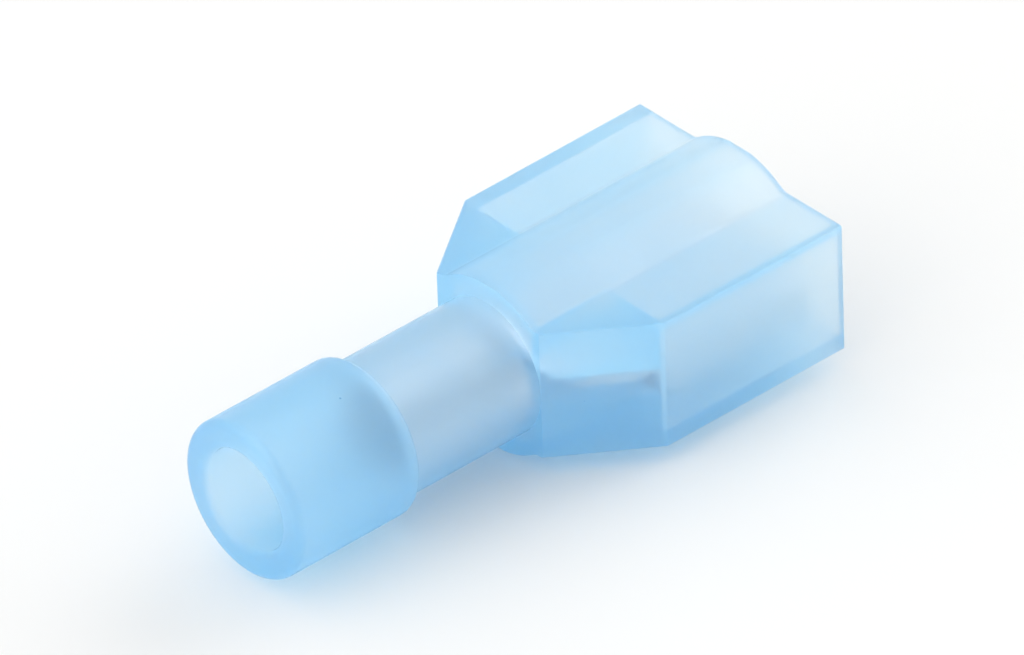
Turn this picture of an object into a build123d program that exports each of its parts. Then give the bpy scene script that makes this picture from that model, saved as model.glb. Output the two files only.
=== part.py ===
from build123d import *
import os
from math import asin, atan2, cos, degrees, radians, sqrt

os.makedirs("parts", exist_ok=True)

# Insulated female spade terminal, in millimetres. X runs along the wire axis from the wire
# entry (x = 0) to the mouth of the hood, Z is up, and the axis itself is y = z = 0.

# The flat tab that the receptacle takes
tab_width = 6.35
tab_thickness = 0.8
tab_side_clearance = 0.2
tab_grip = 0.03

# Tinned brass contact, stamped and rolled from one strip, with its flat base uppermost
metal_thickness = 0.4
base_height = 0.4
roll_radius = 1.1
roll_end_slant = 0.35
receptacle_length = 6.6
lead_in = 0.3
dimple_diameter = 1.7
dimple_height = 0.25
dimple_from_mouth = 3.4
throat_length = 1.8
throat_wrap = 54
throat_steps = 6
barrel_diameter = 3.92
barrel_seam = 0.12
barrel_end_gap = 0.05
barrel_setback = 0.1

# Nylon housing, moulded in one piece
barrel_stop = 0.16
wire_bore_depth = 5.15
wire_bore_round = 0.25
collar_length = 5.15
collar_step = 0.37
collar_rim_round = 0.3
collar_back_round = 0.25
neck_length = 5.4
neck_wall = 0.45
barrel_fit = 0.04
funnel_lead = 0.9
funnel_flare = 0.75
shoulder_length = 3.3
shoulder_fit = 0.1
pocket_fit = 0.05
pocket_under = 0.5
hood_wall = 0.45
side_room = 0.53
roll_room = 0.18
rear_room = 0.55
mouth_recess = 0.5
mouth_flare = 0.1
cavity_inset = 0.15
hood_corner_round = 0.12
hood_edge_round = 0.06
hump_width = 4.2
hump_radius = 3.4
hump_rise = 0.69
hump_foot_round = 0.5

# Sizes that follow from the fits
receptacle_width = tab_width + 2 * (tab_side_clearance + metal_thickness)
base_under = base_height - metal_thickness
base_middle = base_height - metal_thickness / 2
roll_side = receptacle_width / 2 - roll_radius
roll_height = base_height - roll_radius
roll_middle_radius = roll_radius - metal_thickness / 2
roll_tip_height = base_under - tab_thickness + tab_grip
hood_rear_width = receptacle_width + 2 * (side_room + hood_wall)
hood_mouth_width = hood_rear_width + mouth_flare
hood_flat = roll_radius - roll_height + roll_room + hood_wall
hood_crest = hood_flat + hump_rise
barrel_middle = (barrel_diameter - metal_thickness) / 2
barrel_bore = (barrel_diameter + barrel_fit) / 2
wire_bore = barrel_bore - barrel_stop
neck_radius = barrel_bore + neck_wall
collar_radius = neck_radius + collar_step
flank_rise = hood_rear_width / 2 - neck_radius
flank_angle = atan2(flank_rise, shoulder_length)

# Stations along X
shoulder_start = collar_length + neck_length
hood_start = shoulder_start + shoulder_length
hump_hollow_start = shoulder_start + hood_wall
cavity_start = hood_start + cavity_inset
receptacle_back = hood_start + rear_room
receptacle_front = receptacle_back + receptacle_length
mouth = receptacle_front + mouth_recess
barrel_back = wire_bore_depth + barrel_end_gap
barrel_front = shoulder_start - barrel_setback
throat_front = barrel_front + throat_length


def hood_section(inset):
    """Cross-section of the hood, moved inwards: a flat box with an arched hump above and below."""
    flat = hood_flat - inset
    hump_center = hood_flat - sqrt(hump_radius**2 - (hump_width / 2) ** 2)
    with BuildSketch() as section:
        with Locations((0, hump_center)):
            Circle(hump_radius - inset)
        Rectangle(2 * hump_radius, hood_crest - inset, align=(Align.CENTER, Align.MIN), mode=Mode.INTERSECT)
        mirror(about=Plane.XZ)
        Rectangle(hood_mouth_width, 2 * flat)
        feet = section.vertices().filter_by(lambda v: abs(v.X) < hump_radius and abs(v.Y) < hood_crest - inset)
        fillet(feet.filter_by(lambda v: abs(v.Y) < flat + hump_rise / 2), hump_foot_round)
    return section.sketch


def flank_half_width(station, inset):
    """Half-width of the tapered shoulder at a station, to a line that runs inside its flank."""
    return neck_radius + (station - shoulder_start) * flank_rise / shoulder_length - inset / cos(flank_angle)


def strip_arc(middle_radius, crest, wrap):
    """Section of the strip bent to an arc, its middle at the crest, wrapped down both sides."""
    center = (0, crest - middle_radius)
    with BuildSketch() as section:
        with BuildLine():
            outer = CenterArc(center, middle_radius + metal_thickness / 2, 90 - wrap, 2 * wrap)
            inner = CenterArc(center, middle_radius - metal_thickness / 2, 90 - wrap, 2 * wrap)
            Line(outer @ 0, inner @ 0)
            Line(outer @ 1, inner @ 1)
        make_face()
    return section.sketch


# Hollow of the hood, open at the mouth
with BuildPart() as cavity:
    with BuildSketch(Plane.YZ.offset(cavity_start)):
        add(hood_section(hood_wall))
    extrude(amount=mouth - cavity_start)
    with BuildSketch(Plane.XY):
        with BuildLine():
            back_side = hood_rear_width / 2 - hood_wall
            mouth_side = hood_mouth_width / 2 - hood_wall
            Polyline(
                (cavity_start, -back_side),
                (mouth, -mouth_side),
                (mouth, mouth_side),
                (cavity_start, back_side),
                close=True,
            )
        make_face()
    extrude(amount=hood_crest, both=True, mode=Mode.INTERSECT)

with BuildPart() as housing:
    # Hood and tapered shoulder: the cross-section run forward, trimmed to the outline from above
    with BuildSketch(Plane.YZ.offset(shoulder_start)):
        add(hood_section(0))
    extrude(amount=mouth - shoulder_start)
    with BuildSketch(Plane.XY) as plan:
        with BuildLine():
            Polyline(
                (shoulder_start, -neck_radius),
                (hood_start, -hood_rear_width / 2),
                (mouth, -hood_mouth_width / 2),
                (mouth, hood_mouth_width / 2),
                (hood_start, hood_rear_width / 2),
                (shoulder_start, neck_radius),
                close=True,
            )
        make_face()
        fillet(plan.vertices().group_by(Axis.X)[1], hood_corner_round)
    extrude(amount=hood_crest, both=True, mode=Mode.INTERSECT)
    wing_edges = housing.edges().filter_by(lambda e: abs(e.center().Y) > neck_radius)
    wing_edges = wing_edges.filter_by(lambda e: abs(e.center().Z) > hood_flat / 2)
    fillet(wing_edges.filter_by(lambda e: e.center().X < mouth - hood_edge_round), hood_edge_round)

    # Neck and collar are turned about the wire axis
    with BuildSketch(Plane.XZ) as tube:
        with BuildLine():
            Polyline(
                (0, 0),
                (0, collar_radius),
                (collar_length, collar_radius),
                (collar_length, neck_radius),
                (hood_start, neck_radius),
                (hood_start, 0),
                close=True,
            )
        make_face()
        fillet(tube.vertices().group_by(Axis.Y)[-1].sort_by(Axis.X)[0], collar_rim_round)
        fillet(tube.vertices().group_by(Axis.Y)[-1].sort_by(Axis.X)[-1], collar_back_round)
    revolve(axis=Axis.X)

    # Hollow of the hood, and the flat pocket in the shoulder that the contact seats in
    add(cavity.part, mode=Mode.SUBTRACT)
    with BuildSketch(Plane.XY.offset(base_under - pocket_under)):
        with BuildLine():
            Polyline(
                (barrel_front, -flank_half_width(barrel_front, hood_wall)),
                (cavity_start, -flank_half_width(cavity_start, hood_wall)),
                (cavity_start, flank_half_width(cavity_start, hood_wall)),
                (barrel_front, flank_half_width(barrel_front, hood_wall)),
                close=True,
            )
        make_face()
    extrude(amount=pocket_under + metal_thickness + pocket_fit, mode=Mode.SUBTRACT)

    # The hollow of the humps goes on through the shoulder, so that the barrel can pass to the neck
    with BuildSketch(Plane.YZ.offset(hump_hollow_start)):
        add(hood_section(hood_wall))
        Rectangle(hump_width - hood_wall, 2 * hood_crest, mode=Mode.INTERSECT)
    extrude(amount=cavity_start - hump_hollow_start, mode=Mode.SUBTRACT)

    # Passage for wire and barrel, with its funnel in the shoulder
    with BuildSketch(Plane.XZ):
        with BuildLine():
            Polyline(
                (0, 0),
                (0, wire_bore),
                (wire_bore_depth, wire_bore),
                (wire_bore_depth, barrel_bore),
                (barrel_front - funnel_lead, barrel_bore),
                (cavity_start, barrel_bore + funnel_flare),
                (cavity_start, 0),
                close=True,
            )
        make_face()
    revolve(axis=Axis.X, mode=Mode.SUBTRACT)
    wire_entry = housing.edges().filter_by(GeomType.CIRCLE).group_by(Axis.X)[0]
    fillet(wire_entry.sort_by(SortBy.RADIUS)[0], wire_bore_round)

housing.part.label = "housing"
export_step(housing.part, "parts/housing.step")

with BuildPart() as contact:
    # Receptacle: flat base with both edges rolled down, under and up against the tab
    roll_wrap = 270 - degrees(asin((roll_height - roll_tip_height) / roll_middle_radius))
    with BuildSketch(Plane.YZ.offset(receptacle_back)):
        with BuildLine():
            Line((0, base_height), (roll_side, base_height))
            outer_roll = CenterArc((roll_side, roll_height), roll_radius, 90, -roll_wrap)
            inner_roll = CenterArc((roll_side, roll_height), roll_radius - metal_thickness, 90, -roll_wrap)
            Line(outer_roll @ 1, inner_roll @ 1)
            Line((roll_side, base_under), (0, base_under))
            mirror(about=Plane.YZ)
        make_face()
    extrude(amount=receptacle_length)

    # Both ends of the rolls are cut on the slant, and the base has a bevel for the tab
    below = roll_height - roll_radius - metal_thickness
    ahead = receptacle_front + metal_thickness
    behind = receptacle_back - metal_thickness
    with BuildSketch(Plane.XZ):
        with BuildLine():
            Polyline(
                (receptacle_front - lead_in, base_under),
                (receptacle_front, base_middle),
                (ahead, base_middle),
                (ahead, below),
                (receptacle_front - lead_in - roll_end_slant, below),
                close=True,
            )
        make_face()
        with BuildLine():
            Polyline(
                (receptacle_back, base_under - metal_thickness / 4),
                (receptacle_back + roll_end_slant, below),
                (behind, below),
                (behind, base_under - metal_thickness / 4),
                close=True,
            )
        make_face()
    extrude(amount=receptacle_width, both=True, mode=Mode.SUBTRACT)

    # Dimple that snaps into the hole of the tab, pressed down from above
    dimple_sphere = ((dimple_diameter / 2) ** 2 + dimple_height**2) / (2 * dimple_height)
    dimple_latitude = degrees(asin(1 - dimple_height / dimple_sphere))
    dimple_x = receptacle_front - dimple_from_mouth
    hanging = (Align.CENTER, Align.CENTER, Align.MAX)
    with Locations((dimple_x, 0, base_under)):
        Sphere(dimple_sphere, arc_size2=-dimple_latitude, align=hanging)
    with Locations((dimple_x, 0, base_height)):
        Sphere(dimple_sphere, arc_size2=-dimple_latitude, align=hanging, mode=Mode.SUBTRACT)

    # Tapered shoulder of the strip, which follows the housing's flanks and then runs straight
    shoulder_inset = hood_wall + shoulder_fit
    throat_half_width = flank_half_width(throat_front, shoulder_inset)
    straight_start = throat_front + (receptacle_width / 2 - throat_half_width) * shoulder_length / flank_rise
    with BuildSketch(Plane.XY.offset(base_under)):
        with BuildLine():
            Polyline(
                (throat_front, 0),
                (throat_front, throat_half_width),
                (straight_start, receptacle_width / 2),
                (receptacle_back, receptacle_width / 2),
                (receptacle_back, 0),
            )
            mirror(about=Plane.XZ)
        make_face()
    extrude(amount=metal_thickness)

    # Crimp barrel, rolled to a tube with a butt seam underneath
    seam_angle = degrees(asin(barrel_seam / barrel_diameter))
    with BuildSketch(Plane.YZ.offset(barrel_back)):
        add(strip_arc(barrel_middle, barrel_middle, 180 - seam_angle))
    extrude(amount=barrel_front - barrel_back)

    # Throat: the strip unbends evenly from the curve of the barrel to the flat shoulder
    barrel_half_strip = radians(throat_wrap) * barrel_middle
    for step in range(throat_steps):
        opened = step / throat_steps
        curvature = (1 - opened) / barrel_middle
        half_strip = barrel_half_strip + opened * (throat_half_width - barrel_half_strip)
        crest = barrel_middle + opened * (base_middle - barrel_middle)
        with BuildSketch(Plane.YZ.offset(barrel_front + opened * throat_length)):
            add(strip_arc(1 / curvature, crest, degrees(half_strip * curvature)))
    with BuildSketch(Plane.YZ.offset(throat_front)):
        with Locations((0, base_middle)):
            Rectangle(2 * throat_half_width, metal_thickness)
    loft()

contact.part.label = "contact"
export_step(contact.part, "parts/contact.step")
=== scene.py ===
import bmesh
import bpy
from math import cos, radians, sin
from mathutils import Matrix, Vector


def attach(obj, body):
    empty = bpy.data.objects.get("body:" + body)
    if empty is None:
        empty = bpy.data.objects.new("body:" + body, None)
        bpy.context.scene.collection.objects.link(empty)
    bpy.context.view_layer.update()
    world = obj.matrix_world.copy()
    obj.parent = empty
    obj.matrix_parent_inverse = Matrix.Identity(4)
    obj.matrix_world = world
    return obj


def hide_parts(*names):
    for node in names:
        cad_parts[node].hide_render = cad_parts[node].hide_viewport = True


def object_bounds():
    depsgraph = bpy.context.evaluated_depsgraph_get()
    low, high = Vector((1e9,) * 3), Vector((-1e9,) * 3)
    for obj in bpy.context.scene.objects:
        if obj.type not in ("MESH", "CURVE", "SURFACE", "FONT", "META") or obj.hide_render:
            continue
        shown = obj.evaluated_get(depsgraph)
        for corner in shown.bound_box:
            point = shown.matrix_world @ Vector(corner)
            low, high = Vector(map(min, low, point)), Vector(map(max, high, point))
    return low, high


# Insulated spade terminal on a white table: a milky blue nylon moulding over a tin-plated contact.
# The shapes are the CAD's own, welded and shaded smooth; materials, light and camera are made here.

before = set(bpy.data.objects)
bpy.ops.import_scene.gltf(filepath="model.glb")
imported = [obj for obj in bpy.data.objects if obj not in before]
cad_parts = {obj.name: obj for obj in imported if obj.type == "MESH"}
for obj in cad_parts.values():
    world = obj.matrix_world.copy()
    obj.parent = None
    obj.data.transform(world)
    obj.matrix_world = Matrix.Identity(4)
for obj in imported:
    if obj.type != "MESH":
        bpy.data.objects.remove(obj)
cad_box = [list(corner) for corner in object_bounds()]

MM = 0.001

# Camera of the photograph, found from its corners and edges; angles in degrees, lens and sensor in mm
camera_azimuth = -40.78
camera_elevation = 35.70
camera_roll = -2.18
camera_distance = 496.8 * MM
camera_aim = Vector((12.43, 1.026, 0.0)) * MM
camera_lens = 544.9
camera_sensor = 36.0
camera_clip_start = 10 * MM

# Light tent: even all round, with soft glows given as azimuth, elevation and added brightness
tent_brightness = 0.64
tent_glows = [(-90, 24, 1.15), (90, 22, 1.8), (-150, 50, 0.65)]
glow_rim = radians(45)
glow_heart = radians(10)

# Table: half its width, and a hair's gap under the part, so that no two faces lie in one plane
table_half = 1.0
table_gap = 0.01 * MM

# Nylon: real sizes of its surface marks
polish_cloud = 1.6 * MM
mould_grain = 0.22 * MM
mould_grain_depth = 0.0012 * MM
speck_spacing = 1.8 * MM
speck_radius = 0.05 * MM
speck_core_radius = 0.5 * speck_radius

# Nylon: its surface, and the dye and the milky haze in its body, both per metre of the light's path
nylon_ior = 1.53
nylon_smoothest = 0.33
nylon_roughest = 0.42
dye_density = 225.0
haze_density = 1000.0
haze_forwardness = 0.7

# Tin plate: drawing lines along the strip, drawn coarser than the real ones, which are too fine to show
line_length = 5.0 * MM
line_spacing = 0.09 * MM
line_depth = 0.0015 * MM
tin_smoothest = 0.32
tin_roughest = 0.46

# Noise patterns keep mostly between these two values
noise_low = 0.3
noise_high = 0.7

# CAD meshes: corners nearer than this are one, and edges that turn more than this stay sharp
weld_distance = 0.0005 * MM
sharp_angle = radians(30)

# How often light may turn: inside the nylon, between paper and part, and in all
nylon_turns = 64
paper_turns = 16
all_turns = 128


def linear(hex_colour):
    """Turns an sRGB hex value into the linear colour that the shaders take."""
    channels = [int(hex_colour[i : i + 2], 16) / 255 for i in (1, 3, 5)]
    return [c / 12.92 if c <= 0.04045 else ((c + 0.055) / 1.055) ** 2.4 for c in channels] + [1.0]


def add(owner, kind, settings=(), links=()):
    """Adds one node: settings give values by socket or property name, links give (socket, node, output)."""
    node = owner.node_tree.nodes.new(kind)
    for name, value in dict(settings).items():
        if name in node.inputs:
            node.inputs[name].default_value = value
        else:
            setattr(node, name, value)
    for socket, source, output in links:
        owner.node_tree.links.new(source.outputs[output], node.inputs[socket])
    return node


def new_material(name):
    """Makes a material with no nodes yet."""
    material = bpy.data.materials.new(name)
    material.use_nodes = True
    material.node_tree.nodes.clear()
    return material


def milky_nylon():
    """Moulded nylon: satin outside; inside, light scatters onward and loses its red.

    Thin walls look pale and thick ones deep blue.
    """
    nylon = new_material("moulded_nylon_milky_blue")
    place = add(nylon, "ShaderNodeTexCoord")
    # The mould's polish varies in soft clouds
    clouds = add(
        nylon,
        "ShaderNodeTexNoise",
        {"Scale": 1 / polish_cloud, "Detail": 2.0},
        [("Vector", place, "Object")],
    )
    satin = add(
        nylon,
        "ShaderNodeMapRange",
        {"From Min": noise_low, "From Max": noise_high, "To Min": nylon_smoothest, "To Max": nylon_roughest},
        [("Value", clouds, "Fac")],
    )
    # The mould's fine grain dulls the gloss
    grain = add(
        nylon,
        "ShaderNodeTexNoise",
        {"Scale": 1 / mould_grain, "Detail": 1.0},
        [("Vector", place, "Object")],
    )
    relief = add(nylon, "ShaderNodeBump", {"Distance": mould_grain_depth}, [("Height", grain, "Fac")])
    # A few darker specks in the melt, a tenth of a millimetre across
    seeds = add(nylon, "ShaderNodeTexVoronoi", {"Scale": 1 / speck_spacing}, [("Vector", place, "Object")])
    speck = add(
        nylon,
        "ShaderNodeMapRange",
        {
            "From Min": speck_core_radius / speck_spacing,
            "From Max": speck_radius / speck_spacing,
            "To Min": 1.0,
            "To Max": 0.0,
        },
        [("Value", seeds, "Distance")],
    )
    hue = add(
        nylon,
        "ShaderNodeMixRGB",
        {"Color1": linear("#FFFFFF"), "Color2": linear("#F6FBFF")},
        [("Fac", clouds, "Fac")],
    )
    tint = add(
        nylon,
        "ShaderNodeMixRGB",
        {"Color2": linear("#9DB9CC")},
        [("Fac", speck, "Result"), ("Color1", hue, "Color")],
    )
    shader = add(
        nylon,
        "ShaderNodeBsdfPrincipled",
        {"IOR": nylon_ior, "Transmission Weight": 1.0},
        [("Base Color", tint, "Color"), ("Roughness", satin, "Result"), ("Normal", relief, "Normal")],
    )
    # The body: a dye that takes up the red, and a white haze
    dye = add(nylon, "ShaderNodeVolumeAbsorption", {"Color": linear("#3EE1FF"), "Density": dye_density})
    haze = add(
        nylon,
        "ShaderNodeVolumeScatter",
        {"Color": linear("#FFFFFF"), "Density": haze_density, "Anisotropy": haze_forwardness},
    )
    body = add(nylon, "ShaderNodeAddShader", links=[(0, dye, "Volume"), (1, haze, "Volume")])
    add(nylon, "ShaderNodeOutputMaterial", links=[("Surface", shader, "BSDF"), ("Volume", body, "Shader")])
    return nylon


def drawn_tin_plate():
    """Bright tin on drawn brass strip: a soft sheen, faintly blue as tin is, broken up by lines along it."""
    tin = new_material("bright_tin_plated_brass")
    place = add(tin, "ShaderNodeTexCoord")
    along = add(
        tin,
        "ShaderNodeMapping",
        {"Scale": (1 / line_length, 1 / line_spacing, 1 / line_spacing)},
        [("Vector", place, "Object")],
    )
    lines = add(tin, "ShaderNodeTexNoise", {"Scale": 1.0, "Detail": 3.0}, [("Vector", along, "Vector")])
    sheen = add(
        tin,
        "ShaderNodeMixRGB",
        {"Color1": linear("#CED3DB"), "Color2": linear("#EAEDF3")},
        [("Fac", lines, "Fac")],
    )
    satin = add(
        tin,
        "ShaderNodeMapRange",
        {"From Min": noise_low, "From Max": noise_high, "To Min": tin_roughest, "To Max": tin_smoothest},
        [("Value", lines, "Fac")],
    )
    relief = add(tin, "ShaderNodeBump", {"Distance": line_depth}, [("Height", lines, "Fac")])
    shader = add(
        tin,
        "ShaderNodeBsdfPrincipled",
        {"Metallic": 1.0},
        [("Base Color", sheen, "Color"), ("Roughness", satin, "Result"), ("Normal", relief, "Normal")],
    )
    add(tin, "ShaderNodeOutputMaterial", links=[("Surface", shader, "BSDF")])
    return tin


def white_paper():
    """Matt paper, plain so that only the shadow shows on it."""
    paper = new_material("matt_white_paper")
    shader = add(
        paper,
        "ShaderNodeBsdfPrincipled",
        {"Base Color": linear("#F5F5F4"), "Roughness": 0.9, "Specular IOR Level": 0.0},
    )
    add(paper, "ShaderNodeOutputMaterial", links=[("Surface", shader, "BSDF")])
    return paper


def direction(azimuth, elevation):
    """Unit vector from the part towards the camera or a glow, azimuth 0 being the -Y side."""
    turned = radians(azimuth)
    raised = radians(elevation)
    return Vector((sin(turned) * cos(raised), -cos(turned) * cos(raised), sin(raised)))


def light_tent():
    """White all round, a little brighter towards each glow."""
    tent = bpy.data.worlds.new("light_tent")
    tent.use_nodes = True
    tent.node_tree.nodes.clear()
    place = add(tent, "ShaderNodeTexCoord")
    light = add(tent, "ShaderNodeMath", {"operation": "ADD"})
    light.inputs[0].default_value = tent_brightness
    light.inputs[1].default_value = 0.0
    for azimuth, elevation, brightness in tent_glows:
        towards = add(tent, "ShaderNodeVectorMath", {"operation": "DOT_PRODUCT"}, [(0, place, "Generated")])
        towards.inputs[1].default_value = direction(azimuth, elevation)
        glow = add(
            tent,
            "ShaderNodeMapRange",
            {
                "interpolation_type": "SMOOTHSTEP",
                "From Min": cos(glow_rim),
                "From Max": cos(glow_heart),
                "To Max": brightness,
            },
            [("Value", towards, "Value")],
        )
        light = add(tent, "ShaderNodeMath", {"operation": "ADD"}, [(0, light, "Value"), (1, glow, "Result")])
    shine = add(tent, "ShaderNodeBackground", {"Color": linear("#FFFFFF")}, [("Strength", light, "Value")])
    add(tent, "ShaderNodeOutputWorld", links=[("Surface", shine, "Background")])
    # The tent has no small bright spot, so rays find its light by themselves
    tent.cycles.sampling_method = "NONE"
    return tent


def dressed(node, name, material):
    """Copies a CAD node, welds its loose triangles and shades it smooth up to its real edges."""
    piece = bpy.data.objects.new(name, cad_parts[node].data.copy())
    bpy.context.scene.collection.objects.link(piece)
    mesh = bmesh.new()
    mesh.from_mesh(piece.data)
    bmesh.ops.remove_doubles(mesh, verts=mesh.verts, dist=weld_distance)
    mesh.to_mesh(piece.data)
    mesh.free()
    if "custom_normal" in piece.data.attributes:
        piece.data.attributes.remove(piece.data.attributes["custom_normal"])
    piece.data.shade_smooth()
    piece.data.set_sharp_from_angle(angle=sharp_angle)
    weighted = piece.modifiers.new("weighted", "WEIGHTED_NORMAL")
    weighted.keep_sharp = True
    piece.data.materials.clear()
    piece.data.materials.append(material)
    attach(piece, "root")
    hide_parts(node)


dressed("housing", "nylon_housing", milky_nylon())
dressed("contact", "brass_contact", drawn_tin_plate())

# White table under the part
table_height = cad_box[0][2] - table_gap
table_corners = [
    (-table_half, -table_half, table_height),
    (table_half, -table_half, table_height),
    (table_half, table_half, table_height),
    (-table_half, table_half, table_height),
]
floor_mesh = bpy.data.meshes.new("floor")
floor_mesh.from_pydata(table_corners, [], [(0, 1, 2, 3)])
floor_mesh.materials.append(white_paper())
floor = bpy.data.objects.new("floor", floor_mesh)
bpy.context.scene.collection.objects.link(floor)

bpy.context.scene.world = light_tent()

# Camera, turned about its own line of sight by the roll
back = direction(camera_azimuth, camera_elevation)
side = Vector((cos(radians(camera_azimuth)), sin(radians(camera_azimuth)), 0.0))
upright = back.cross(side)
roll = radians(camera_roll)
right = side * cos(roll) + upright * sin(roll)
up = upright * cos(roll) - side * sin(roll)
camera_data = bpy.data.cameras.new("camera")
camera_data.sensor_width = camera_sensor
camera_data.lens = camera_lens
camera_data.clip_start = camera_clip_start
camera = bpy.data.objects.new("camera", camera_data)
turn = Matrix((right, up, back)).transposed().to_4x4()
camera.matrix_world = Matrix.Translation(camera_aim + camera_distance * back) @ turn
bpy.context.scene.collection.objects.link(camera)
bpy.context.scene.camera = camera
bpy.context.scene.view_settings.view_transform = "Standard"

# In milky plastic light turns many times before it comes out again, and blurring those turns would lose it
cycles = bpy.context.scene.cycles
cycles.max_bounces = all_turns
cycles.transmission_bounces = nylon_turns
cycles.volume_bounces = nylon_turns
cycles.glossy_bounces = nylon_turns
cycles.diffuse_bounces = paper_turns
cycles.blur_glossy = 0.0
